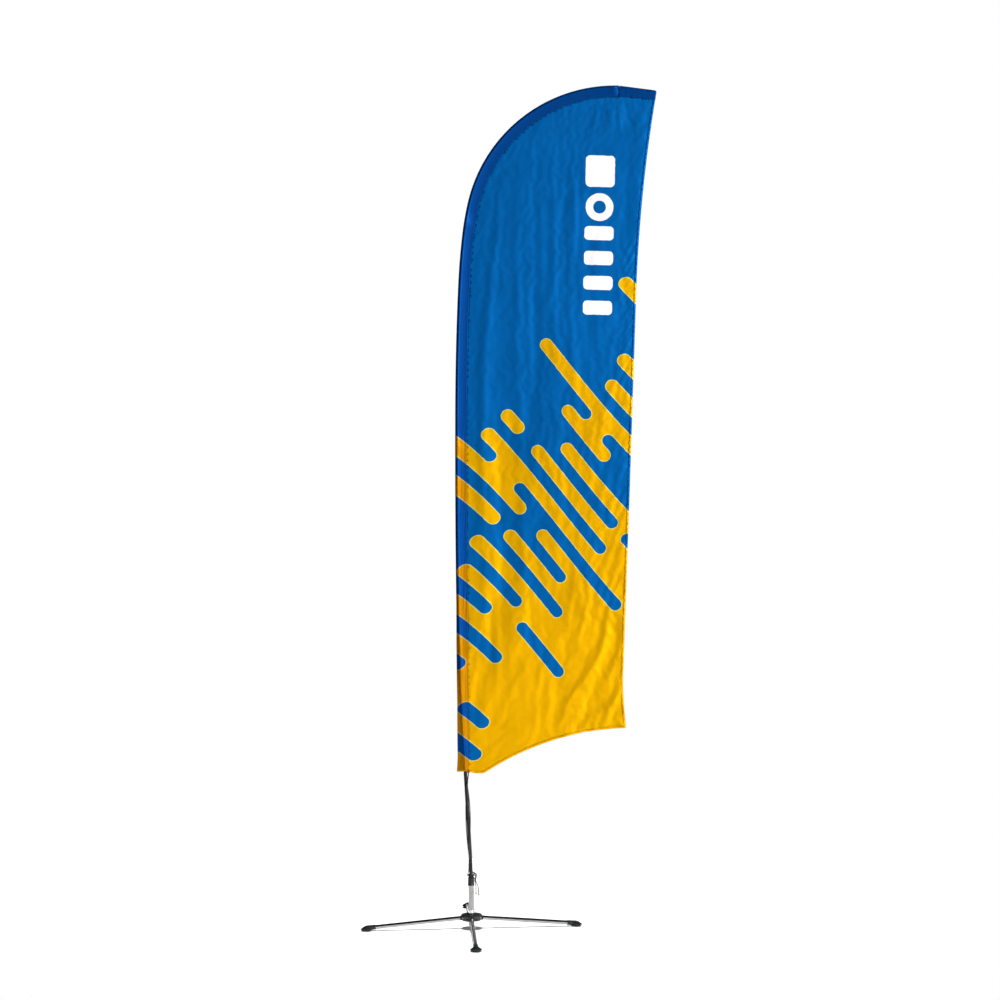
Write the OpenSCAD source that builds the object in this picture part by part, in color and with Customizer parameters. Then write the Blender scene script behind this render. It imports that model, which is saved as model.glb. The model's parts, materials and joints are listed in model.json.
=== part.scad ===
// Feather flag on a bowed pole, turning in a ball-bearing cross base with four folding legs.
// Millimetres. +Z is up and z = 0 is the floor. The origin lies on the floor under the spin axis.
// The flag stands in the XZ plane and its free edge points to +X.

/* [Base] */
// Distance from the spin axis to the middle of each foot
foot_reach = 423; // [360:1:480]
// Outer diameter of a leg tube
leg_d = 16; // [15:0.5:17]
// Height of the leg pins above the floor
pin_z = 44; // [43:0.5:46]
// Height of the leg's axis above the middle of its foot
foot_axis_z = 12; // [11:0.5:13]
// Widest diameter of a foot
foot_d = 46; // [42:1:48]
// Height of a foot
foot_h = 20; // [19:0.5:24]
// Diameter of the hub
hub_d = 86; // [84:1:90]

/* [Rotator] */
// Outer diameter of the rotator tube
tube_d = 22; // [22:0.1:22.4]
// Height of the rotator tube's rim above the floor
tube_top = 174; // [170:1:178]
// Number of balls in the bearing
ball_count = 10; // [6:1:12]

/* [Pole] */
// Outer diameter of the lowest pole section
pole_d = 14.5; // [14:0.1:14.6]
// Radius of the pole's bow at the top of the flag
bow_r = 604; // [560:1:650]
// Length of one pole section
section_l = 960; // [960]
// Length by which a section plugs into the one below
section_plug = 60; // [60]

/* [Flag] */
// Thickness of the flag panel
panel_t = 0.8; // [0.6:0.1:2]
// Width of the pole sleeve from its outer edge to its seam
sleeve_w = 46; // [42:1:52]
// Height of the sleeve's lower end above the floor
sleeve_z = 636; // [620:1:660]
// Diameter of the tether cord
cord_d = 3.6; // [3:0.1:4]

/* [Hidden] */
$fn = 64;

slack = 0.3;        // gap between pieces that move past each other
running = 0.05;     // gap between a pin, a plug or a race and the bore that it sits in
through = 1;        // how far a cutter runs past the face that it opens

// Hub
hub_bottom = 34;
hub_top = 56;
hub_r = hub_d / 2;
cover_top = 63;
pocket_r = 18.5;            // holds the bearing's outer race
ledge_r = 16;               // opening of the ledge under that race
ledge_z = 46;
pocket_floor = 40;
pin_r = 3;
pin_reach = 36;             // distance of the leg pins from the spin axis
pin_l = 26;
slot_w = 13;
slot_start = 26;
slot_roof = pin_z + 8.6;
screw_ring_r = 30;
screw_r = 1.75;
screw_head_r = 3.4;
screw_head_h = 2.4;

// Bearing and rotor
race_h = 10;
race_t = 1.45;
tube_r = tube_d / 2;
tube_wall = 1.5;
tube_bottom = 42;
ring_z = 44.3;
ring_h = 1.3;
groove_depth = 0.6;
ball_r = 2.2;
ball_ring_r = 15;
collar_r = 13.3;
collar_top = 75;
collar_hole_r = 1.6;
collar_hole_angles = [-116, -64];

// Legs: a leg's own X axis runs from its pin to the middle of its foot
leg_l = norm([foot_reach - pin_reach, pin_z - foot_axis_z]);
leg_slope = atan2(pin_z - foot_axis_z, foot_reach - pin_reach);
leg_r = leg_d / 2;
leg_wall = 1;
leg_start = 10.6;
leg_end = leg_l - 6;
knuckle_r = 8;
knuckle_w = slot_w - 2 * slack;
spigot_end = 48;
rivet_at = 26;
rivet_r = 1.6;
socket_r = 9.8;
socket_l = 36;

// Pole: headings are leans from the vertical in degrees, at distances along the pole from its butt
butt_z = 90;
pole_r = [pole_d / 2, pole_d / 2 - 1.05, pole_d / 2 - 2.1, pole_d / 2 - 3.15];
pole_wall = 1;
pole_sides = 12;
bow_start = 2830;
bow_start_lean = 13.5;
bow_l = bow_r * (90 - bow_start_lean) * PI / 180;
LEANS = [[0, 0], [120, 0], [210, -2.6], [610, -2.6], [910, -1.3], [1210, -0.3], [1510, 0.2],
    [1910, 0.7], [2110, 1.4], [2510, 3.4], [2710, 7.6], [bow_start, bow_start_lean],
    [bow_start + bow_l, 90]];
long_step = 60;
bow_steps = 30;
plain_steps = 46;
STATIONS = concat([for (i = [0 : plain_steps]) i * long_step], [for (i = [1 : bow_steps])
    plain_steps * long_step + i * (bow_start + bow_l - plain_steps * long_step) / bow_steps]);
last = len(STATIONS) - 1;
LINE = [for (i = 0, p = [0, butt_z]; i <= last;
    p = i < last ? p + (STATIONS[i + 1] - STATIONS[i])
        * lean_dir(lean((STATIONS[i] + STATIONS[i + 1]) / 2)) : p,
    i = i + 1) p];
POLE_X = [for (i = [0 : last]) [STATIONS[i], LINE[i][0]]];
POLE_Z = [for (i = [0 : last]) [STATIONS[i], LINE[i][1]]];
POLE_X_AT_Z = [for (i = [0 : plain_steps]) [LINE[i][1], LINE[i][0]]];
tip = LINE[last];

// Ferrule and hook ring
ferrule_bore_r = pole_d / 2 + running;
ferrule_spigot_r = tube_r - tube_wall - slack;
ferrule_bottom = 84;
ferrule_top = 209;
ferrule_r = 12.6;
ferrule_rim_r = 13.5;
hook_z = 212;
hook_h = 7;
hook_r = 11.5;
ear_at = 12.4;
ear_r = 3.6;
eye_r = 2.1;

// Sleeve: how far its outer edge stands out from the pole's axis, at heights above the floor
bow_out = 9;                // all through the bow
SLEEVE_OUT = [[636, 34], [690, 28], [920, 18], [1300, 10.5], [2000, bow_out]];
sleeve_room = 3;            // from the pole's wall to the sleeve's outer face
sleeve_wall = 1;
sleeve_edge_r = 1.6;
sleeve_seam_r = 1.3;
sleeve_sides = 16;
SLEEVE_STATIONS = concat([sleeve_z - butt_z],
    [for (s = STATIONS) if (s > sleeve_z - butt_z + long_step / 4) s]);

// Panel: control points of its free edge and of its lower hem, each triple a smooth bend
lap = 2;                    // the panel is sewn this far into the sleeve's seam
patch_x = tip[0] + 16;      // from here on the panel reaches up to the top edge
top_edge_z = tip[1] + 9;
FREE_EDGE = [[790, 3367], [716, 2960], [698, 2560], [664, 1780], [628, 1000], [627, 900],
    [639, 794]];
LOWER_HEM = [[639, 794], [330, 795], [56, 624]];
LOWER_CORNER = [12, 627];
bend_steps = 12;

// Tether: two strands hang from the tab and wrap down the pole. The black one ends in the knot
// at one ear of the hook ring, and the grey one in the eye of the other ear.
cord_r = cord_d / 2;
cord_sides = 8;
tab_x = -5;
tab_w = 9;
tab_h = 14;
tab_t = 2.6;
tab_hole_r = 2;
tab_bottom = sleeve_z - 8;
wind_top = 580;
wind_bottom = 232;
WRAP_BLACK = [-90, -270];   // angles about the pole, at the top and at the bottom
WRAP_GREY = [60, -162];
wind_steps = 44;
wind_r = pole_d / 2 + cord_r + 0.5;
knot_r = 4.8;
KNOT = [ear_at, -2, 223.9];
TAIL_1 = [[14, -6, 222], [17, -8.5, 219], [17.8, -9, 212], [16.5, -8.5, 205], [15.3, -8, 198],
    [15.8, -8.5, 190], [17.3, -9, 182], [18.6, -9.3, 173], [19.1, -9.5, 164], [19, -9.5, 155],
    [18.7, -9.5, 146]];
TAIL_2 = [[16.5, -3, 223.5], [20, -4, 221.5], [21.5, -4.2, 214], [20.3, -4, 206], [18.5, -4, 199],
    [19, -4, 191], [21.8, -4.5, 184], [25, -5, 176], [27.6, -5.5, 167], [29.2, -6, 157],
    [30, -6, 141]];
tip_sleeve_r = 2.4;
tip_sleeve_l = 7;

function lean_dir(a) = [sin(a), cos(a)];
function lean(s) = lookup(s, LEANS);
function unit(v) = v / norm(v);

// Corners of a circle's polygon, the first of them on the first axis
function circle_points(r, sides) =
    [for (k = [0 : sides - 1]) r * [cos(360 * k / sides), sin(360 * k / sides)]];

// Outline that wraps three circles on the U axis, each circle being [place, radius]
function wrap_points(circles, sides) = [for (k = [0 : sides - 1])
    let (a = 360 * (k + 0.5) / sides,
        reach = [for (c = circles) c[0] * cos(a) + c[1]],
        far = reach[0] >= max(reach[1], reach[2]) ? 0 : reach[1] >= reach[2] ? 1 : 2)
    [circles[far][0] + circles[far][1] * cos(a), circles[far][1] * sin(a)]];

// A flat outline set square to the pole at distance s along it: U points into the bow, V along Y
function ring_on_pole(s, outline) =
    let (a = lean(s), x = lookup(s, POLE_X), z = lookup(s, POLE_Z))
    [for (q = outline) [x + q[0] * cos(a), q[1], z - q[0] * sin(a)]];

function pole_rings(first, end, r) =
    [for (i = [first : end]) ring_on_pole(STATIONS[i], circle_points(r, pole_sides))];

function pole_x(z) = lookup(z, POLE_X_AT_Z);
function station(s) = round(s / long_step);
function section_start(k) = k * (section_l - section_plug);
function pole_r_at(s) = pole_r[len([for (k = [0 : 2]) if (s > section_start(k) + section_l) k])];

function sleeve_out(s) = s > bow_start ? bow_out : lookup(lookup(s, POLE_Z), SLEEVE_OUT);
function sleeve_rings(thin) = [for (s = SLEEVE_STATIONS)
    let (out = sleeve_out(s))
    ring_on_pole(s, wrap_points([[0, pole_r_at(s) + sleeve_room - thin],
        [sleeve_edge_r - out, sleeve_edge_r - thin],
        [sleeve_w - out - sleeve_seam_r, sleeve_seam_r - thin]], sleeve_sides))];

// A point of the sleeve's seam, as [x, z]
function seam_point(s) =
    let (a = lean(s), u = sleeve_w - sleeve_out(s) - lap)
    [lookup(s, POLE_X) + u * cos(a), lookup(s, POLE_Z) - u * sin(a)];

function bend(p, q, r) = [for (k = [0 : bend_steps - 1]) let (t = k / bend_steps)
    (1 - t) * (1 - t) * p + 2 * t * (1 - t) * q + t * t * r];
function bends(c) = [for (j = [0 : 2 : len(c) - 3]) each bend(c[j], c[j + 1], c[j + 2])];

// Rings of a round cord along a route that is nowhere parallel to the X axis
function cord_rings(route, r) = [for (i = [0 : len(route) - 1])
    let (t = unit(route[min(i + 1, len(route) - 1)] - route[max(i - 1, 0)]),
        v = unit(cross(t, [1, 0, 0])), u = cross(v, t))
    [for (q = circle_points(r, cord_sides)) route[i] + q[0] * u + q[1] * v]];

function winding(wrap) = [for (k = [0 : wind_steps])
    let (z = wind_top + (wind_bottom - wind_top) * k / wind_steps,
        a = wrap[0] + (wrap[1] - wrap[0]) * k / wind_steps)
    [pole_x(z) + wind_r * cos(a), wind_r * sin(a), z]];
CORD_TOP = [[tab_x, -2.4, 632], [tab_x - 0.5, -3, 624], [tab_x - 2, -5, 612],
    [tab_x - 4, -7, 598], [tab_x - 7, -8.7, 587]];
RETURN_TOP = [[tab_x, 2.4, 632], [tab_x + 0.5, 3, 624], [tab_x - 1, 5, 612],
    [tab_x - 3, 7, 598], [tab_x - 3.2, 8.2, 587]];
CORD_END = [[ear_at - 4, 5, 227], [ear_at - 1, 1, 225]];
RETURN_END = [[-11.2, -1.6, 227.5], [-ear_at, -0.4, 223.5], [-ear_at, 0, hook_z + hook_h],
    [-ear_at, 0, hook_z + 1]];

// Joins rings of equal count into one closed solid, with a hole along it if inner rings are given
module loft(outer, inner = []) {
    n = len(outer[0]);
    m = len(outer);
    at = function (layer, i, k) layer * m * n + i * n + k % n;
    skin = [for (i = [0 : m - 2], k = [0 : n - 1])
        [at(0, i, k), at(0, i, k + 1), at(0, i + 1, k + 1), at(0, i + 1, k)]];
    if (len(inner) == 0)
        polyhedron(points = [for (r = outer) each r], faces = concat(skin,
            [[for (k = [n - 1 : -1 : 0]) at(0, 0, k)], [for (k = [0 : n - 1]) at(0, m - 1, k)]]));
    else
        polyhedron(points = [for (r = concat(outer, inner)) each r], faces = concat(skin,
            [for (i = [0 : m - 2], k = [0 : n - 1])
                [at(1, i, k), at(1, i + 1, k), at(1, i + 1, k + 1), at(1, i, k + 1)]],
            [for (k = [0 : n - 1]) [at(0, 0, k), at(1, 0, k), at(1, 0, k + 1), at(0, 0, k + 1)]],
            [for (k = [0 : n - 1])
                [at(0, m - 1, k), at(0, m - 1, k + 1), at(1, m - 1, k + 1), at(1, m - 1, k)]]));
}

module pipe(r_out, r_in, z0, z1) {
    translate([0, 0, z0]) difference() {
        cylinder(r = r_out, h = z1 - z0);
        translate([0, 0, -through]) cylinder(r = r_in, h = z1 - z0 + 2 * through);
    }
}

// Cylinder along Y, centred on the leg's pin axis or beside it
module cross_pin(r, l) { rotate([90, 0, 0]) cylinder(r = r, h = l, center = true); }

// Places its children in a leg's own frame: origin on the pin, X along the leg
module on_leg(turn) {
    rotate([0, 0, turn]) translate([pin_reach, 0, pin_z]) rotate([0, leg_slope, 0]) children();
}

module hub_body() {
    color("#1c1c1e") difference() {
        rotate_extrude() polygon([[0, hub_bottom], [hub_r - 5, hub_bottom],
            [hub_r - 3.5, hub_bottom + 2], [hub_r, hub_top - 5], [hub_r, hub_top - 1.4],
            [hub_r - 1.2, hub_top], [0, hub_top]]);
        translate([0, 0, ledge_z]) cylinder(r = pocket_r, h = race_h + through);
        translate([0, 0, pocket_floor]) cylinder(r = ledge_r, h = race_h);
        for (turn = [0 : 90 : 270]) rotate([0, 0, turn]) {
            translate([slot_start, -slot_w / 2, hub_bottom - through])
                cube([hub_r, slot_w, slot_roof - hub_bottom + through]);
            translate([pin_reach, 0, pin_z]) cross_pin(pin_r + running, hub_d);
            rotate([0, 0, 45]) translate([screw_ring_r, 0, hub_bottom - through]) {
                cylinder(r = screw_r + running, h = hub_top - hub_bottom + 2 * through);
                cylinder(r = screw_head_r + running, h = screw_head_h + 1 + through);
            }
        }
    }
}

module hub_cover() {
    color("#1c1c1e") difference() {
        rotate_extrude() polygon([[13, hub_top], [hub_r - 2, hub_top], [hub_r - 3, hub_top + 1.4],
            [20, cover_top - 1.5], [18.5, cover_top], [13, cover_top]]);
        for (turn = [45 : 90 : 315]) rotate([0, 0, turn])
            translate([screw_ring_r, 0, hub_top - through]) cylinder(r = screw_r + running, h = 3);
    }
}

module hub_screws() {
    color("silver") for (turn = [45 : 90 : 315]) rotate([0, 0, turn])
        translate([screw_ring_r, 0, hub_bottom + 1]) {
            cylinder(r = screw_head_r, h = screw_head_h);
            cylinder(r = screw_r, h = hub_top - hub_bottom);
        }
}

module leg_pins() {
    color("silver") for (turn = [0 : 90 : 270]) rotate([0, 0, turn])
        translate([pin_reach, 0, pin_z]) cross_pin(pin_r, pin_l);
}

module bearing_outer_race() {
    color("silver") pipe(pocket_r - running, ball_ring_r + ball_r + slack, ledge_z, ledge_z + race_h);
}

module bearing_balls() {
    color("gainsboro") for (k = [0 : ball_count - 1]) rotate([0, 0, 360 * k / ball_count])
        translate([ball_ring_r, 0, ledge_z + race_h / 2]) sphere(r = ball_r);
}

module bearing_cage() {
    color("goldenrod") difference() {
        pipe(ball_ring_r + 0.8, ball_ring_r - 0.8, ledge_z + 2, ledge_z + race_h / 2 - 0.6);
        for (k = [0 : ball_count - 1]) rotate([0, 0, 360 * k / ball_count])
            translate([ball_ring_r, 0, ledge_z + race_h / 2]) sphere(r = ball_r + running);
    }
}

module bearing_inner_race() {
    color("silver") pipe(tube_r + race_t, tube_r + running, ledge_z, ledge_z + race_h);
}

module bearing_spacer() {
    color("gray") pipe(tube_r + 1.3, tube_r + running, ledge_z + race_h, cover_top + 0.8);
}

module retaining_ring() {
    color("dimgray") difference() {
        pipe(tube_r + 2, tube_r - groove_depth + running, ring_z, ring_z + ring_h);
        translate([tube_r - 2, -2, ring_z - through]) cube([6, 4, ring_h + 2 * through]);
    }
}

module rotator_tube() {
    color("silver") difference() {
        pipe(tube_r, tube_r - tube_wall, tube_bottom, tube_top);
        pipe(tube_r + through, tube_r - groove_depth, ring_z - 0.1, ring_z + ring_h + 0.1);
    }
}

module rotator_collar() {
    color("gainsboro") difference() {
        pipe(collar_r, tube_r + running, cover_top + 0.8, collar_top);
        for (a = collar_hole_angles) rotate([0, 90, a]) translate([-(collar_top - 5.8), 0, 0])
            cylinder(r = collar_hole_r, h = collar_r + through);
    }
}

module collar_screws() {
    color("#303030") for (a = collar_hole_angles) rotate([0, 90, a])
        translate([-(collar_top - 5.8), 0, tube_r + 0.1])
            cylinder(r = collar_hole_r - running, h = collar_r - tube_r - 0.8);
}

module tube_plug() {
    color("#202020") translate([0, 0, tube_bottom])
        cylinder(r = tube_r - tube_wall - running, h = 14);
}

module leg_knuckle(turn) {
    color("#26262a") on_leg(turn) difference() {
        union() {
            cross_pin(knuckle_r, knuckle_w);
            translate([0, -knuckle_w / 2, -knuckle_r + 0.4])
                cube([leg_start - 0.2, knuckle_w, 2 * knuckle_r - 0.8]);
            translate([leg_start - 0.3, 0, 0]) rotate([0, 90, 0])
                cylinder(r = leg_r - leg_wall - running, h = spigot_end - leg_start + 0.3);
        }
        cross_pin(pin_r + running, 3 * knuckle_w);
        translate([rivet_at, 0, 0]) cross_pin(rivet_r + running, 3 * knuckle_w);
    }
}

module leg_rivet(turn) {
    color("silver") on_leg(turn) translate([rivet_at, 0, 0]) cross_pin(rivet_r, leg_d + 1.6);
}

module leg_tube(turn) {
    color("#d8dadd") on_leg(turn) difference() {
        rotate([0, 90, 0]) pipe(leg_r, leg_r - leg_wall, leg_start, leg_end);
        translate([rivet_at, 0, 0]) cross_pin(rivet_r + running, 2 * leg_d);
    }
}

module leg_foot(turn) {
    color("#1a1a1c") difference() {
        union() {
            rotate([0, 0, turn]) translate([foot_reach, 0, 0]) rotate_extrude() polygon([[0, 0],
                [foot_d / 2 - 8.5, 0], [foot_d / 2 - 1.2, 5.6], [foot_d / 2, 7.4], [foot_d / 2, 8.6],
                [foot_d / 2 - 1.6, 10.2], [foot_d / 2 - 15, foot_h - 1], [foot_d / 2 - 19, foot_h],
                [0, foot_h]]);
            on_leg(turn) translate([leg_l - socket_l, 0, 0]) rotate([0, 90, 0]) {
                cylinder(r = socket_r, h = socket_l);
                translate([0, 0, socket_l]) cylinder(r1 = socket_r, r2 = socket_r - 4, h = 5);
            }
        }
        on_leg(turn) translate([leg_l - socket_l - through, 0, 0]) rotate([0, 90, 0])
            cylinder(r = leg_r + running, h = leg_end - leg_l + socket_l + through + 0.2);
    }
}

module leg_right_knuckle() { leg_knuckle(0); }
module leg_right_rivet() { leg_rivet(0); }
module leg_right_tube() { leg_tube(0); }
module leg_right_foot() { leg_foot(0); }
module leg_rear_knuckle() { leg_knuckle(90); }
module leg_rear_rivet() { leg_rivet(90); }
module leg_rear_tube() { leg_tube(90); }
module leg_rear_foot() { leg_foot(90); }
module leg_left_knuckle() { leg_knuckle(180); }
module leg_left_rivet() { leg_rivet(180); }
module leg_left_tube() { leg_tube(180); }
module leg_left_foot() { leg_foot(180); }
module leg_front_knuckle() { leg_knuckle(270); }
module leg_front_rivet() { leg_rivet(270); }
module leg_front_tube() { leg_tube(270); }
module leg_front_foot() { leg_foot(270); }

module pole_ferrule() {
    color("#18181a") difference() {
        rotate_extrude() polygon([[ferrule_bore_r, ferrule_bottom], [ferrule_spigot_r, ferrule_bottom],
            [ferrule_spigot_r, tube_top + slack], [ferrule_rim_r, tube_top + slack],
            [ferrule_rim_r, tube_top + 4], [ferrule_r, tube_top + 8], [ferrule_r, ferrule_top - 2],
            [ferrule_r - 1.5, ferrule_top], [ferrule_bore_r, ferrule_top]]);
        translate([0, 0, ferrule_top - 7]) rotate([0, 90, 0])
            cylinder(r = 1.25, h = ferrule_r + through);
    }
}

module ferrule_screw() {
    color("#303030") translate([0, 0, ferrule_top - 7]) rotate([0, 90, 0]) {
        translate([0, 0, ferrule_bore_r + 0.1]) cylinder(r = 1.2, h = ferrule_r - ferrule_bore_r);
        translate([0, 0, ferrule_r]) cylinder(r1 = 2.8, r2 = 2, h = 1.8);
    }
}

module hook_ring() {
    color("#18181a") translate([0, 0, hook_z]) difference() {
        union() {
            cylinder(r = hook_r, h = hook_h);
            for (side = [-1, 1]) translate([side * ear_at, 0, 1]) cylinder(r = ear_r, h = hook_h - 3);
        }
        translate([0, 0, -through]) cylinder(r = pole_d / 2 + 0.35, h = hook_h + 2 * through);
        for (side = [-1, 1]) translate([side * ear_at, 0, 0]) cylinder(r = eye_r, h = hook_h);
    }
}

module pole_butt_cap() {
    color("#202020") {
        translate([0, 0, ferrule_bottom]) cylinder(r = pole_d / 2 - 0.1, h = butt_z - ferrule_bottom);
        translate([0, 0, ferrule_bottom]) cylinder(r = pole_d / 2 - 1.4, h = 18);
    }
}

module pole_tube(k) {
    first = station(section_start(k));
    end = first + station(section_l);
    color("#141416") loft(pole_rings(first, end, pole_r[k]),
        pole_rings(first, end, pole_r[k] - pole_wall));
}

module section_collar(k) {
    end = station(section_start(k) + section_l);
    color("silver") loft(pole_rings(end - 1, end, pole_r[k] + 0.9),
        pole_rings(end - 1, end, pole_r[k] + running));
}

module pole_section_1() { pole_tube(0); }
module pole_section_2() { pole_tube(1); }
module pole_section_3() { pole_tube(2); }
module pole_section_4() {
    color("#141416") loft(pole_rings(station(section_start(3)), last, pole_r[3]));
}
module section_collar_1() { section_collar(0); }
module section_collar_2() { section_collar(1); }
module section_collar_3() { section_collar(2); }

module pole_tip_cap() {
    color("#202020") translate([tip[0], 0, tip[1]]) rotate([0, 90, 0]) difference() {
        translate([0, 0, -8]) cylinder(r = 5.4, h = 14);
        translate([0, 0, -8 - through]) cylinder(r = pole_r[3] + 0.4, h = 8.2 + through);
    }
}

module pole_sleeve() { color("#003f86") loft(sleeve_rings(0), sleeve_rings(sleeve_wall)); }

module flag_panel() {
    color("#0060aa") rotate([90, 0, 0]) linear_extrude(height = panel_t, center = true)
        polygon(concat([for (s = SLEEVE_STATIONS) seam_point(s)],
            [[patch_x, seam_point(STATIONS[last])[1]], [patch_x, top_edge_z]],
            bends(FREE_EDGE), bends(LOWER_HEM), [LOWER_HEM[2], LOWER_CORNER]));
}

module tip_pocket() {
    color("#003f86") translate([tip[0] + 6.3, -5, tip[1] - 9]) cube([patch_x - tip[0] - 6.6, 10, 18]);
}

module tether_tab() {
    color("#b02418") rotate([90, 0, 0]) difference() {
        translate([tab_x - tab_w / 2, tab_bottom, -tab_t / 2]) cube([tab_w, tab_h, tab_t]);
        translate([tab_x, tab_bottom + 4.5, -tab_t]) cylinder(r = tab_hole_r, h = 2 * tab_t);
    }
}

module tether_cord() {
    color("#101010") loft(cord_rings(concat(CORD_TOP, winding(WRAP_BLACK), CORD_END), cord_r));
}
module tether_return() {
    color("#8c8c88") loft(cord_rings(concat(RETURN_TOP, winding(WRAP_GREY), RETURN_END), cord_r));
}
module tether_knot() { color("#101010") translate(KNOT) sphere(r = knot_r); }
module cord_tail_1() { color("#101010") loft(cord_rings(TAIL_1, cord_r)); }
module cord_tail_2() { color("#101010") loft(cord_rings(TAIL_2, cord_r)); }

module cord_tip(route) {
    color("#8a3a2a") translate(route[len(route) - 1] - [0, 0, tip_sleeve_l])
        cylinder(r = tip_sleeve_r, h = tip_sleeve_l);
}
module cord_tip_1() { cord_tip(TAIL_1); }
module cord_tip_2() { cord_tip(TAIL_2); }

hub_body();
hub_cover();
hub_screws();
leg_pins();
bearing_outer_race();
bearing_balls();
bearing_cage();
bearing_inner_race();
bearing_spacer();
retaining_ring();
rotator_tube();
rotator_collar();
collar_screws();
tube_plug();
leg_right_knuckle();
leg_right_rivet();
leg_right_tube();
leg_right_foot();
leg_rear_knuckle();
leg_rear_rivet();
leg_rear_tube();
leg_rear_foot();
leg_left_knuckle();
leg_left_rivet();
leg_left_tube();
leg_left_foot();
leg_front_knuckle();
leg_front_rivet();
leg_front_tube();
leg_front_foot();
pole_ferrule();
ferrule_screw();
hook_ring();
pole_butt_cap();
pole_section_1();
pole_section_2();
pole_section_3();
pole_section_4();
section_collar_1();
section_collar_2();
section_collar_3();
pole_tip_cap();
pole_sleeve();
flag_panel();
tip_pocket();
tether_tab();
tether_cord();
tether_return();
tether_knot();
cord_tail_1();
cord_tail_2();
cord_tip_1();
cord_tip_2();
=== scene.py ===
"""Feather flag on a bowed pole in a ball-bearing cross base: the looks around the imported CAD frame.

Metres, in the CAD's own frame: z = 0 is the floor, the origin lies under the spin axis, the flag
stands in the XZ plane and is seen from -Y.
"""

import json
import math

import bpy
import numpy as np
from mathutils import Matrix, Vector, geometry
from mathutils.bvhtree import BVHTree

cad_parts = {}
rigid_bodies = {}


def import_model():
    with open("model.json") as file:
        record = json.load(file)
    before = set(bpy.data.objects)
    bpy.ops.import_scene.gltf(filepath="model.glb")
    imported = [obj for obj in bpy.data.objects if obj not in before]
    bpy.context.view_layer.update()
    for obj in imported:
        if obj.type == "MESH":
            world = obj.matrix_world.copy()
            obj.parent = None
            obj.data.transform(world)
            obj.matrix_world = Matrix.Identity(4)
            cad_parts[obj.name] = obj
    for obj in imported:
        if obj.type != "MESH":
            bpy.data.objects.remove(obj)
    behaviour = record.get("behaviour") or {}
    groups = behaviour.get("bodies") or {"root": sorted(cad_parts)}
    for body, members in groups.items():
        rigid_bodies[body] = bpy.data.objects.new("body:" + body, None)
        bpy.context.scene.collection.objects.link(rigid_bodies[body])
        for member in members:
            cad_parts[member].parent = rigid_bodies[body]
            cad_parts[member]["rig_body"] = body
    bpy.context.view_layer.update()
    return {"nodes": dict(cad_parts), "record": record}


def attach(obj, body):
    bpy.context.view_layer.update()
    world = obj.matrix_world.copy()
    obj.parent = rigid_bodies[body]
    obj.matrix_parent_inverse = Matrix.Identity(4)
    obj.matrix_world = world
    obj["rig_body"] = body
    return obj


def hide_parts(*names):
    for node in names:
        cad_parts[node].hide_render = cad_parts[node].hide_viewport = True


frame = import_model()
rng = np.random.default_rng(7)
scene = bpy.context.scene


# ---- camera
EYE = (-0.3256, -8.7551, 1.8496)
YAW_PITCH_ROLL = (3.020, -0.810, -0.730)
LENS, SENSOR = 78.44, 36


def place_camera():
    """The photograph's viewing angle: almost square to the flag, from a little above its middle."""
    yaw, pitch, roll = (math.radians(a) for a in YAW_PITCH_ROLL)
    ahead = Vector((math.sin(yaw) * math.cos(pitch), math.cos(yaw) * math.cos(pitch),
                    math.sin(pitch)))
    level = Vector((math.cos(yaw), -math.sin(yaw), 0))
    upward = level.cross(ahead)
    right = math.cos(roll) * level + math.sin(roll) * upward
    up = -math.sin(roll) * level + math.cos(roll) * upward
    data = bpy.data.cameras.new("camera")
    data.sensor_width = SENSOR
    data.lens = LENS
    camera = bpy.data.objects.new("camera", data)
    turned = Matrix((right, up, -ahead)).transposed().to_4x4()
    camera.matrix_world = Matrix.Translation(EYE) @ turned
    scene.collection.objects.link(camera)
    scene.camera = camera


place_camera()


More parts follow.
